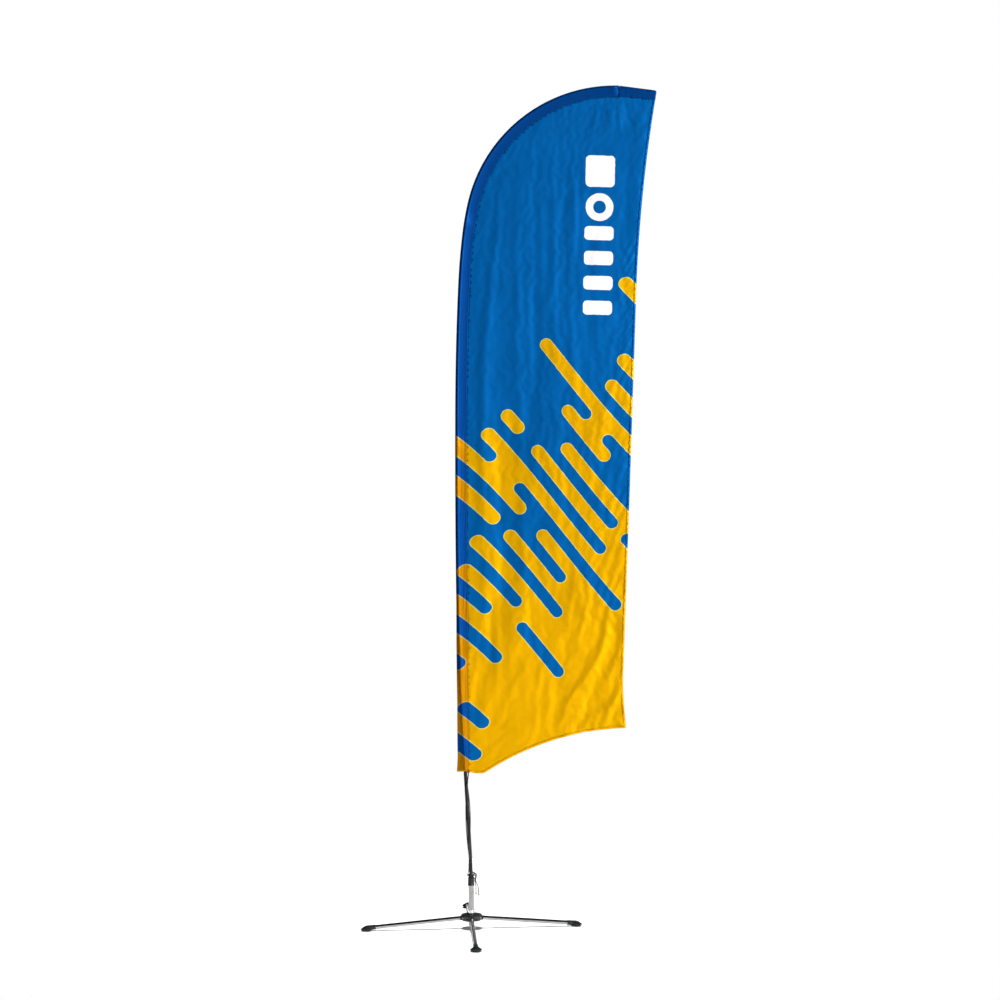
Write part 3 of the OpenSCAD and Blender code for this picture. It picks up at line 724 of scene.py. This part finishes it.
# ---- folds
# Each fold: its middle line in the flag's plane, half width and height; a minus sign is a valley.
# Its two flanks may differ in width.
FOLDS = [
    # long soft folds that hang from the bow
    ([(0.175, 3.02), (0.115, 2.7), (0.08, 2.35), (0.068, 1.95), (0.066, 1.6)], 0.02, 0.034, 7.0),
    ([(0.255, 3.13), (0.215, 2.8), (0.21, 2.35), (0.218, 1.95), (0.222, 1.6)], 0.024, 0.036, 4.5),
    ([(0.305, 3.24), (0.29, 2.95), (0.285, 2.45), (0.29, 2.1)], 0.018, 0.03, -5.0),
    ([(0.385, 3.3), (0.372, 3.05), (0.368, 2.6), (0.375, 2.2)], 0.03, 0.018, 5.5),
    ([(0.45, 3.31), (0.44, 3.1), (0.43, 2.75), (0.435, 2.35), (0.45, 2.0)], 0.016, 0.022, 4.0),
    ([(0.53, 3.32), (0.52, 3.1), (0.505, 2.7), (0.5, 2.3)], 0.022, 0.03, -4.0),
    ([(0.452, 3.02), (0.449, 2.84), (0.447, 2.66)], 0.007, 0.011, 5.0),
    ([(0.64, 3.31), (0.62, 3.05), (0.607, 2.8), (0.61, 2.55)], 0.018, 0.02, 2.2),
    ([(0.7, 3.28), (0.668, 3.1), (0.655, 2.9), (0.66, 2.7)], 0.012, 0.02, -2.4),
    ([(0.3, 2.3), (0.33, 1.95), (0.345, 1.6)], 0.03, 0.04, 4.0),
    ([(0.13, 2.1), (0.14, 1.7), (0.145, 1.3), (0.15, 1.0)], 0.026, 0.03, -4.5),
    ([(0.24, 1.75), (0.23, 1.4), (0.225, 1.1)], 0.03, 0.034, 4.0),
    ([(0.075, 1.6), (0.07, 1.3), (0.064, 1.0), (0.058, 0.75)], 0.012, 0.02, 3.0),
    ([(0.11, 1.5), (0.112, 1.2), (0.108, 0.9)], 0.01, 0.016, 2.2),
    # pleats that spread from the pole's tip
    ([(0.594, 3.324), (0.6, 3.27), (0.605, 3.215)], 0.005, 0.009, 4.5),
    ([(0.634, 3.332), (0.638, 3.265), (0.641, 3.195)], 0.006, 0.01, 5.0),
    ([(0.654, 3.324), (0.678, 3.25), (0.702, 3.18)], 0.006, 0.008, -4.5),
    ([(0.687, 3.32), (0.717, 3.275), (0.746, 3.23)], 0.005, 0.008, 4.5),
    ([(0.554, 3.316), (0.533, 3.22), (0.512, 3.13)], 0.009, 0.014, 4.5),
    # the valley that runs down to the lower hem, and the ridges on each side of it
    ([(0.585, 1.25), (0.535, 1.1), (0.455, 0.98), (0.395, 0.9), (0.345, 0.8)], 0.016, 0.04, 6.5),
    ([(0.6, 1.16), (0.54, 1.03), (0.49, 0.92), (0.45, 0.82)], 0.035, 0.04, -8.0),
    ([(0.632, 1.02), (0.61, 0.93), (0.565, 0.85), (0.54, 0.8)], 0.022, 0.018, 6.0),
    ([(0.63, 1.25), (0.622, 1.14), (0.6, 1.08), (0.59, 1.03)], 0.01, 0.014, 3.5),
    ([(0.33, 1.02), (0.325, 0.9), (0.322, 0.8)], 0.01, 0.016, 2.5),
    # diagonal tension lines near the free edge
    ([(0.64, 2.05), (0.59, 1.88), (0.545, 1.72), (0.515, 1.6)], 0.01, 0.016, 3.4),
    ([(0.645, 1.9), (0.6, 1.74), (0.56, 1.6)], 0.009, 0.014, 3.2),
    ([(0.6, 2.2), (0.555, 2.05), (0.525, 1.9)], 0.011, 0.017, 3.0),
    ([(0.64, 1.66), (0.585, 1.52), (0.54, 1.4), (0.51, 1.28)], 0.009, 0.014, 3.2),
    ([(0.636, 1.55), (0.595, 1.42), (0.56, 1.32)], 0.008, 0.012, 2.8),
    ([(0.628, 1.43), (0.59, 1.33), (0.555, 1.22), (0.545, 1.12)], 0.009, 0.013, 3.0),
    ([(0.662, 2.42), (0.64, 2.28), (0.628, 2.16)], 0.01, 0.014, 3.4),
    ([(0.655, 2.3), (0.618, 2.18), (0.6, 2.05)], 0.008, 0.014, -3.0),
    ([(0.5, 1.36), (0.46, 1.2), (0.43, 1.08)], 0.018, 0.026, 3.0),
]
FOLD_SHARE = 0.45  # of the listed heights


def fold_height(points):
    height = np.zeros(len(points))
    for line, left, right, amount in FOLDS:
        path = even(line, 0.02)
        near, along = distance_to_line(points, path)
        length = np.linalg.norm(np.diff(path, axis=0), axis=1).sum()
        t = np.clip(along / length, 0, 1)
        taper = np.sin(math.pi * np.clip(0.04 + 0.92 * t, 0, 1)) ** 0.8
        centre = np.interp(along, np.linspace(0, length, len(path)), path[:, 0])
        width = np.where(points[:, 0] < centre, left, right)
        past_end = np.where((along < 1e-4) | (along > length - 1e-4), 0.35, 1.0)
        height += FOLD_SHARE * amount * MM * taper * past_end / (1 + (near / width) ** 2) ** 1.6
    return height


def waves(points, angle, pitch, drift=0.0, seed=0):
    """Uneven ripples whose crests run at angle degrees from the X axis."""
    a = math.radians(angle)
    across = -points[:, 0] * math.sin(a) + points[:, 1] * math.cos(a)
    along = points[:, 0] * math.cos(a) + points[:, 1] * math.sin(a)
    r = np.random.default_rng(seed)
    value = np.zeros(len(points))
    for _ in range(5):
        k = 2 * math.pi / (pitch * r.uniform(0.65, 1.5))
        bend = 0.35 * pitch * np.sin(along / (pitch * r.uniform(2.5, 5)) + r.uniform(0, 6.28))
        gate = 0.5 + 0.5 * np.sin(along / (pitch * r.uniform(1.8, 4)) + r.uniform(0, 6.28))
        value += gate * np.sin(k * (across + drift * bend) + r.uniform(0, 6.28))
    return value / 3


def fade(value, near, far):
    t = np.clip((value - near) / (far - near), 0, 1)
    return 1 - t * t * (3 - 2 * t)


TOP_SEAM = np.vstack([SEAM[SEAM_S > 3.35],
                      [(PATCH_X, SEAM[-1][1]), (0.782, SEAM[-1][1] - 0.016)]])


def fine_wrinkles(points):
    """Puckers along the seams, gathers under the top and crumples beside the free edge."""
    x, z = points[:, 0], points[:, 1]
    seam, run = distance_to_line(points, SEAM)
    top, free = gap(points, TOP_SEAM), gap(points, FREE)
    puckers = waves(points, 62, 0.017, 0.5, 1) * fade(seam, 0.006, 0.075)
    puckers *= 0.35 + 0.65 * (run > 1.3)
    lower_lines = waves(points, 88, 0.024, 0.6, 2) * fade(seam, 0.0, 0.13) * fade(z, 1.7, 2.3)
    gathers = waves(points, 97, 0.021, 0.5, 3) * fade(top, 0.004, 0.20)
    crumples = waves(points, 60, 0.022, 0.9, 4) * fade(free, 0.01, 0.085)
    crumples *= 0.35 + fade(np.abs(z - 2.45), 0.1, 0.5)
    lines = waves(points, 64, 0.030, 0.5, 5) * fade(free, 0.03, 0.24)
    lines *= fade(np.abs(z - 1.5), 0.3, 0.75)
    broad = waves(points, 88, 0.085, 0.8, 6) * fade(np.abs(z - 2.3), 0.7, 1.3)
    hushed = 1 - fade(seam, 0.0, 0.012)
    return MM * hushed * (0.50 * puckers + 0.22 * lower_lines + 0.25 * gathers + 0.95 * crumples
                          + 0.32 * lines + 0.12 * broad)


def hang_panel():
    """Cuts the panel, lays its folds, lets it hang by simulation from the seam, and refines it."""
    flat, faces = cut_panel()
    x, z = flat.T
    from_seam = gap(flat, SEAM)
    in_patch = (x > TIP_X - 0.004) & (gap(flat, TOP_SEAM) < 0.05) & (z > TIP_Z - 0.060)
    below = np.where(x > TIP_X - 0.05, fade(z, TIP_Z - 0.070, TIP_Z - 0.030), 1.0)
    lift = fold_height(flat) * np.clip(from_seam / 0.05, 0, 1) * below
    start = np.column_stack([x, -lift, z])
    panel = make("flag_cloth", start, faces, "flag_fabric", replaces=("flag_panel", "tip_pocket"))
    cut = np.column_stack([x, z, np.zeros(len(x))]).astype(np.float32)
    attribute = panel.data.attributes.new("flat", "FLOAT_VECTOR", "POINT")
    attribute.data.foreach_set("vector", cut.ravel())
    simulate(panel, (from_seam < 0.004) | in_patch, start)
    modify(panel, "SUBSURF", levels=1, render_levels=1, boundary_smooth="PRESERVE_CORNERS")
    flat = np.zeros(len(panel.data.vertices) * 3, np.float32)
    panel.data.attributes["flat"].data.foreach_get("vector", flat)
    flat = flat.reshape(-1, 3)[:, :2].astype(float)
    co = points_of(panel.data)
    co[:, 1] -= fine_wrinkles(flat)
    settle(panel, co)
    carry_print(panel, flat)
    carry(panel, "hem_edge", gap(flat, HEMMED))
    return panel, flat


CLOTH_FRAMES, MOVE_LIMIT = 25, 0.03


def simulate(panel, held, start):
    """Lets the cloth hang under gravity for a second. No point moves more than MOVE_LIMIT."""
    group = panel.vertex_groups.new(name="held")
    group.add(np.flatnonzero(held).tolist(), 1.0, "REPLACE")
    modifier = panel.modifiers.new("cloth", "CLOTH")
    modifier.collision_settings.use_collision = False
    cloth = modifier.settings
    cloth.vertex_group_mass = "held"
    cloth.quality = 6
    cloth.mass = 0.00004
    cloth.tension_stiffness = cloth.compression_stiffness = 12
    cloth.shear_stiffness = 4
    cloth.bending_stiffness = 0.08
    cloth.tension_damping = cloth.compression_damping = cloth.shear_damping = 8
    cloth.air_damping = 4
    for number in range(1, CLOTH_FRAMES + 1):
        scene.frame_set(number)
    depsgraph = bpy.context.evaluated_depsgraph_get()
    move = points_of(panel.evaluated_get(depsgraph).to_mesh()) - start
    panel.modifiers.clear()
    scene.frame_set(1)
    far = np.linalg.norm(move, axis=1)
    print("cloth moved by at most", round(far.max() / MM, 2), "mm")
    settle(panel, start + move * (MOVE_LIMIT / np.maximum(far, MOVE_LIMIT))[:, None])


panel, panel_flat = hang_panel()


# ---- the sleeve
RING_STEP, FRONT_POINTS, CLOTH_T = 0.009, 27, 0.0005
EDGE_H, SEAM_H = 0.0009, 0.0006
FLARE, FLARE_L = 0.0012, 0.03
JOINTS = [k * (SECTION_L - SECTION_PLUG) + SECTION_PLUG for k in (1, 2, 3)]


def sleeve_outline(s, wrinkle):
    """Half outline of the sleeve at s: from the outer edge to the seam, as (u, height) pairs."""
    bulge = max([math.exp(-((s - k) / 0.030) ** 2) for k in JOINTS]
                + [fade(abs(s - POLE_L), 0, 0.02)])
    out, radius = sleeve_out(s), pole_radius(s) + 0.0013 + 0.0021 * bulge
    end = SLEEVE_W - out
    t = np.linspace(0, 1, FRONT_POINTS)
    split = 0.30 + 0.22 * min(1.0, out / 0.034)
    crest = radius * 0.2
    left = -out + (out + crest) * (1 - np.cos(math.pi / 2 * np.minimum(t / split, 1))) ** 0.72
    right = crest + (end - crest) * np.clip((t - split) / (1 - split), 0, 1) ** 1.15
    u = np.where(t <= split, left, right)
    rise = np.clip((u + out) / out, 0, 1)
    fall = np.clip((end - u) / end, 0, 1)
    rise = rise ** (1.2 + 18 * max(0, out - 0.012))
    flank = np.where(u < 0, EDGE_H + (radius * 0.93 - EDGE_H) * rise,
                     SEAM_H + (radius * 0.93 - SEAM_H) * fall ** 1.45)
    height = np.maximum(flank, np.sqrt(np.maximum(radius ** 2 - u ** 2, 0)))
    soften = np.clip(np.minimum(u + out, end - u) / 0.004, 0, 1)
    return u, height + wrinkle * soften


def sleeve_wrinkle(s, u, side):
    """Diagonal puckers where the pole bends and long creases lower down, in metres."""
    p = np.column_stack([u, np.full(len(u), s)])
    high = fade(abs(s - 3.0), 0.5, 1.2)
    low = fade(s, 1.6, 2.2)
    value = 0.55 * waves(p, 38 * side, 0.015, 0.6, 11 + side) * (0.25 + 0.75 * high)
    value += 0.35 * waves(p, 86, 0.014, 0.6, 15 + side) * low
    value += 0.30 * waves(p, 8, 0.022, 0.8, 19 + side) * (0.3 + 0.7 * low)
    return MM * value


def make_sleeve():
    """The tube of cloth round the pole: open at the foot, pinched shut past the tip."""
    rings, flats = [], []
    past_tip = PATCH_X - TIP_X + 0.004
    stations = np.linspace(SLEEVE_S, POLE_L + past_tip, int((POLE_L - SLEEVE_S) / RING_STEP))
    for s in stations:
        u, _ = sleeve_outline(s, 0)
        _, front = sleeve_outline(s, sleeve_wrinkle(s, u, 1))
        _, back = sleeve_outline(s, sleeve_wrinkle(s, u, -1))
        ring_u = np.r_[u, u[::-1]]
        ring_y = np.r_[-front, back[::-1]]
        ring_y = ring_y + np.sign(ring_y) * (FLARE * max(0.0, 1 - (s - SLEEVE_S) / FLARE_L))
        beyond = max(0.0, s - POLE_L)
        ring_y = ring_y * (1 - 0.92 * (beyond / past_tip) ** 1.3)
        x, z = on_pole(min(s, POLE_L), ring_u)
        x = x + beyond
        rings.append(np.column_stack([x, ring_y, z]))
        flats.append(np.column_stack([x, z]))
    sleeve = make("sleeve_cloth", *rings_to_mesh(rings, closed_ends=False), "sleeve_fabric",
                  replaces=("pole_sleeve",))
    carry_print(sleeve, np.vstack(flats))
    modify(sleeve, "SOLIDIFY", thickness=CLOTH_T, offset=-1)
    return sleeve


sleeve = make_sleeve()


# ---- hems, top band and stitching
def panel_strip(name, chosen, material, thickness):
    """A second layer over the chosen faces of the panel, as a thin closed strip."""
    used, corners = np.unique(panel_quads[chosen], return_inverse=True)
    obj = make(name, points_of(panel.data)[used], corners.reshape(-1, 4).tolist(), material,
               "sleeve_fabric")
    carry_print(obj, panel_flat[used])
    carry(obj, "hem_edge", np.ones(len(used)))
    modify(obj, "SOLIDIFY", thickness=thickness, offset=0)
    return obj


panel_quads = np.array([list(p.vertices) for p in panel.data.polygons])
middles = panel_flat[panel_quads].mean(1)
in_hem = (gap(middles, HEMMED) < HEM_W) & (gap(middles, SEAM) > 0.006)
BAND_LOW = [(PATCH_X, SEAM[-1][1]), (0.790, SEAM[-1][1] - 0.017)]
in_band = (middles[:, 0] > PATCH_X) & (
    middles[:, 1] > np.interp(middles[:, 0], *np.array(BAND_LOW).T))
# The hems and the top band take the darkened fabrics, with their painted shade of a double layer.
hems = panel_strip("panel_hems", in_hem & ~in_band, "hem_fabric", 0.0007)
band = panel_strip("top_band", in_band, "sleeve_fabric", 0.0016)

panel_flat_3d = [Vector((*p, 0)) for p in panel_flat]
panel_triangles = []
for polygon in panel.data.polygons:
    first, *rest = polygon.vertices
    panel_triangles += [(first, a, b) for a, b in zip(rest, rest[1:])]
flat_tree = BVHTree.FromPolygons(panel_flat_3d, panel_triangles)
panel_co = points_of(panel.data)


def onto_panel(p):
    """The hung place of a point of the flat panel."""
    hit, _, index, _ = flat_tree.find_nearest(Vector((*p, 0)))
    a, b, c = panel_triangles[index]
    return geometry.barycentric_transform(hit, panel_flat_3d[a], panel_flat_3d[b], panel_flat_3d[c],
                                          *(Vector(panel_co[v]) for v in (a, b, c)))


STITCH_PITCH, STITCH_SHARE = 0.0052, 0.74
THREAD_R, THREAD_LIFT = 0.00026, 0.00025
OUTWARDS = np.array([0, 1, 0])


def stitch_row(places, flats, side, store):
    """Appends stitches along a line of places to store, each a thread that dips at both ends."""
    p, f = np.array(places), np.array(flats)
    run = run_along(p)
    verts, faces, flat_points = store
    for start in np.arange(0.002, run[-1] - STITCH_PITCH, STITCH_PITCH):
        at = start + np.array([0, 0.5, 1]) * STITCH_PITCH * STITCH_SHARE
        line = points_at(p, run, at)
        line[:, 1] += side * THREAD_LIFT * np.array([-0.2, 1.0, -0.2])
        along = line[2] - line[0]
        along /= np.linalg.norm(along)
        across = np.cross(along, OUTWARDS)
        rings = [[q + r * THREAD_R * (math.cos(a) * across + math.sin(a) * OUTWARDS)
                  for a in math.pi / 4 + math.pi / 2 * np.arange(4)]
                 for q, r in zip(line, (0.5, 1.0, 0.5))]
        points, corners = rings_to_mesh(rings)
        faces += [tuple(len(verts) + v for v in face) for face in corners]
        verts += points
        flat_points += [[np.interp(at[1], run, f[:, k]) for k in range(2)]] * len(points)


def make_stitching():
    """One row along the hem and two beside the seam, on both faces."""
    store = ([], [], [])
    hem_row = even(inner_line(HEMMED, 0.0075)[3:-3], 0.008)
    on_cloth = [onto_panel(p) for p in hem_row]
    for side in (-1, 1):
        stitch_row([Vector((v[0], v[1] + side * 0.0004, v[2])) for v in on_cloth], hem_row,
                   side, store)
    stations = np.linspace(SLEEVE_S + 0.004, POLE_L - 0.004, 420)
    for inset in (0.0022, 0.0075):
        places = []
        for s in stations:
            at = SLEEVE_W - sleeve_out(s) - inset
            x, z = on_pole(s, at)
            places.append((float(x), float(np.interp(at, *sleeve_outline(s, 0))), float(z)))
        for side in (-1, 1):
            stitch_row([(x, side * (y + 0.0003), z) for x, y, z in places],
                       [(x, z) for x, _, z in places], side, store)
    verts, faces, flats = store
    obj = make("stitching", verts, faces, "thread", "flag_fabric")
    carry_print(obj, np.array(flats))
    return obj


stitching = make_stitching()
modify(panel, "SOLIDIFY", thickness=CLOTH_T, offset=0)


# ---- the tether
CORD_R = 0.0018
WIND_TOP, WIND_DROP, WIND_GAP = 0.580, 0.348, 0.0005


def winding(start, end):
    """Places down the pole that turn about it from the angle start to the angle end."""
    radius = POLE_R[0] + CORD_R + WIND_GAP
    heights = np.array([v for v in _z if v < 0.62])
    points = []
    for t in np.linspace(0, 1, 45):
        z = WIND_TOP - WIND_DROP * t
        a = math.radians(start + (end - start) * t)
        points.append((float(np.interp(z, heights, _x[:len(heights)])) + radius * math.cos(a),
                       radius * math.sin(a), z))
    return points


TAB_X = -0.005
CORD_TOP = [(TAB_X, -0.0024, 0.632), (TAB_X - 0.0005, -0.003, 0.624),
            (TAB_X - 0.002, -0.005, 0.612), (TAB_X - 0.004, -0.007, 0.598),
            (TAB_X - 0.007, -0.0087, 0.587)]
RETURN_TOP = [(TAB_X, 0.0024, 0.632), (TAB_X + 0.0005, 0.003, 0.624),
              (TAB_X - 0.001, 0.005, 0.612), (TAB_X - 0.003, 0.007, 0.598),
              (TAB_X - 0.0032, 0.0082, 0.587)]
CORD_END = [(0.0084, 0.005, 0.227), (0.0114, 0.001, 0.225)]
RETURN_END = [(-0.0112, -0.0016, 0.2275), (-0.0124, -0.0004, 0.2235), (-0.0124, 0, 0.219),
              (-0.0124, 0, 0.213)]
KNOT, KNOT_SIZE, KNOT_CORD_R = Vector((0.0124, -0.002, 0.2239)), 0.0014, 0.0013
cord_mesh("tether_strand_1", CORD_TOP + winding(-90, -270) + CORD_END, CORD_R, "cord_black",
          "tether_cord")
cord_mesh("tether_strand_2", RETURN_TOP + winding(60, -162) + RETURN_END, CORD_R, "cord_grey",
          "tether_return")
knot_route = [KNOT + KNOT_SIZE * Vector((math.sin(t) + 1.5 * math.sin(2 * t),
                                         math.cos(t) - 1.5 * math.cos(2 * t),
                                         -1.3 * math.sin(3 * t)))
              for t in np.linspace(0, 2 * math.pi, 40)]
cord_mesh("tether_knot_loops", knot_route, KNOT_CORD_R, "cord_black", "tether_knot",
          step=FINE_STEP, closed=True)


def make_tab():
    """A loop of webbing sewn into the seam: two crowned faces, closed round their rim."""
    width, low, high, thick = 0.009, 0.628, 0.642, 0.0026
    rows, columns = 12, 9
    verts, faces, runs, turns = [], [], [], []
    for side in (-1, 1):
        for t, c in ((i / rows, k / columns) for i in range(rows + 1) for k in range(columns + 1)):
            z = low + (high - low) * t
            round_end = math.sin(min(1.0, t / 0.16) * math.pi / 2)
            crown = 0.55 + 0.45 * math.sin(math.pi * c)
            verts.append((TAB_X + (c - 0.5) * width * (0.82 + 0.18 * round_end),
                          side * thick / 2 * round_end * crown, z))
            runs.append(z)
            turns.append(c * 4)
    layer = (rows + 1) * (columns + 1)
    for side in (0, 1):
        for i in range(rows):
            for k in range(columns):
                a = side * layer + i * (columns + 1) + k
                quad = (a, a + 1, a + columns + 2, a + columns + 1)
                faces.append(quad if side == 0 else quad[::-1])
    rim = ([i * (columns + 1) + columns for i in range(rows + 1)]
           + [rows * (columns + 1) + k for k in range(columns - 1, -1, -1)]
           + [i * (columns + 1) for i in range(rows - 1, -1, -1)] + list(range(1, columns)))
    for a, b in zip(rim, rim[1:] + rim[:1]):
        faces.append((b, b + layer, a + layer, a))
    tab = make("seam_tab", verts, faces, "tab_webbing", replaces=("tether_tab",))
    carry(tab, "run", runs)
    carry(tab, "turn", turns)


make_tab()


# ---- floor, world and lights
def make_floor():
    """A sheet of white paper, large enough for the shadows: beyond it the world is as white."""
    size = 1.6
    mesh = bpy.data.meshes.new("floor")
    mesh.from_pydata([(-size, -size, 0), (size, -size, 0), (size, size, 0), (-size, size, 0)], [],
                     [(0, 1, 2, 3)])
    floor = bpy.data.objects.new("floor", mesh)
    scene.collection.objects.link(floor)
    n = Nodes("floor_paper")
    tone = n.mix(n.step(n.noise(3, 3), 0.3, 0.7), (0.90, 0.90, 0.90), (0.93, 0.93, 0.93))
    floor.data.materials.append(n.surface(color=tone, rough=0.9, specular=0.1))
    return floor


def make_world():
    """White to the camera. Its light is stronger from the right, weak from the left and above."""
    scene.world = bpy.data.worlds.new("studio")
    n = Nodes(scene.world, "Background", "OutputWorld")
    split = n.add("SeparateXYZ")
    n.link(n.add("TexCoord").outputs["Generated"], split.inputs[0])
    right = n.step(split.outputs["X"], 0.10, 0.85, 0.0, 0.80)
    left = n.step(split.outputs["X"], -0.05, -0.80, 0.0, -0.26)
    low = n.step(split.outputs["Z"], 0.12, 0.80, 1.0, 0.08)
    around = n.math("ADD", n.math("ADD", right, left), 0.27)
    strength = n.add("Mix", data_type="FLOAT")
    n.link(n.add("LightPath").outputs["Is Camera Ray"], strength.inputs[0])
    n.link(n.math("MULTIPLY", around, low), strength.inputs[2])
    strength.inputs[3].default_value = 1.0
    n.link(strength.outputs[0], n.shader.inputs["Strength"])
    n.shader.inputs["Color"].default_value = (1, 1, 1, 1)


def add_light(name, kind, place, target, power, **values):
    data = bpy.data.lights.new(name, kind)
    data.energy = power
    for key, value in values.items():
        setattr(data, key, value)
    light = bpy.data.objects.new(name, data)
    light.location = place
    light.rotation_euler = (Vector(target) - Vector(place)).to_track_quat("-Z", "Y").to_euler()
    scene.collection.objects.link(light)
    return light


floor = make_floor()
make_world()
key = add_light("key", "SUN", (2.7, -3.0, 1.0), (0, 0, 0), 2.38, angle=math.radians(8))
overhead = add_light("overhead", "SUN", (0, -0.04, 4), (0, 0, 0), 4.4, angle=math.radians(7))
add_light("strip_right", "AREA", (3.4, -4.6, 2.4), (0.3, 0, 2.0), 60,
          shape="RECTANGLE", size=0.9, size_y=3.6)
strip_left = add_light("strip_left", "AREA", (-3.8, -3.6, 2.2), (0.2, 0, 1.8), 45,
                       shape="RECTANGLE", size=1.0, size_y=3.2)

# The floor takes only the light from above, and only the base and the rotor shade it. The left
# strip is there for their metal.
under_key, under_overhead, shades_floor = (
    bpy.data.collections.new(name) for name in ("lit_by_key", "lit_by_overhead", "shades_floor"))
for group in (under_key, under_overhead, shades_floor):
    scene.collection.children.link(group)
for obj in list(scene.collection.all_objects):
    if obj.type == "MESH" and obj is not floor:
        under_key.objects.link(obj)
for node in frame["nodes"].values():
    if node["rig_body"] != "pole":
        shades_floor.objects.link(node)
strip_left.light_linking.receiver_collection = shades_floor
under_overhead.objects.link(floor)
key.light_linking.receiver_collection = under_key
overhead.light_linking.receiver_collection = under_overhead
overhead.light_linking.blocker_collection = shades_floor

view = scene.view_settings
view.view_transform, view.look, view.exposure, view.gamma = "Standard", "None", 0, 1
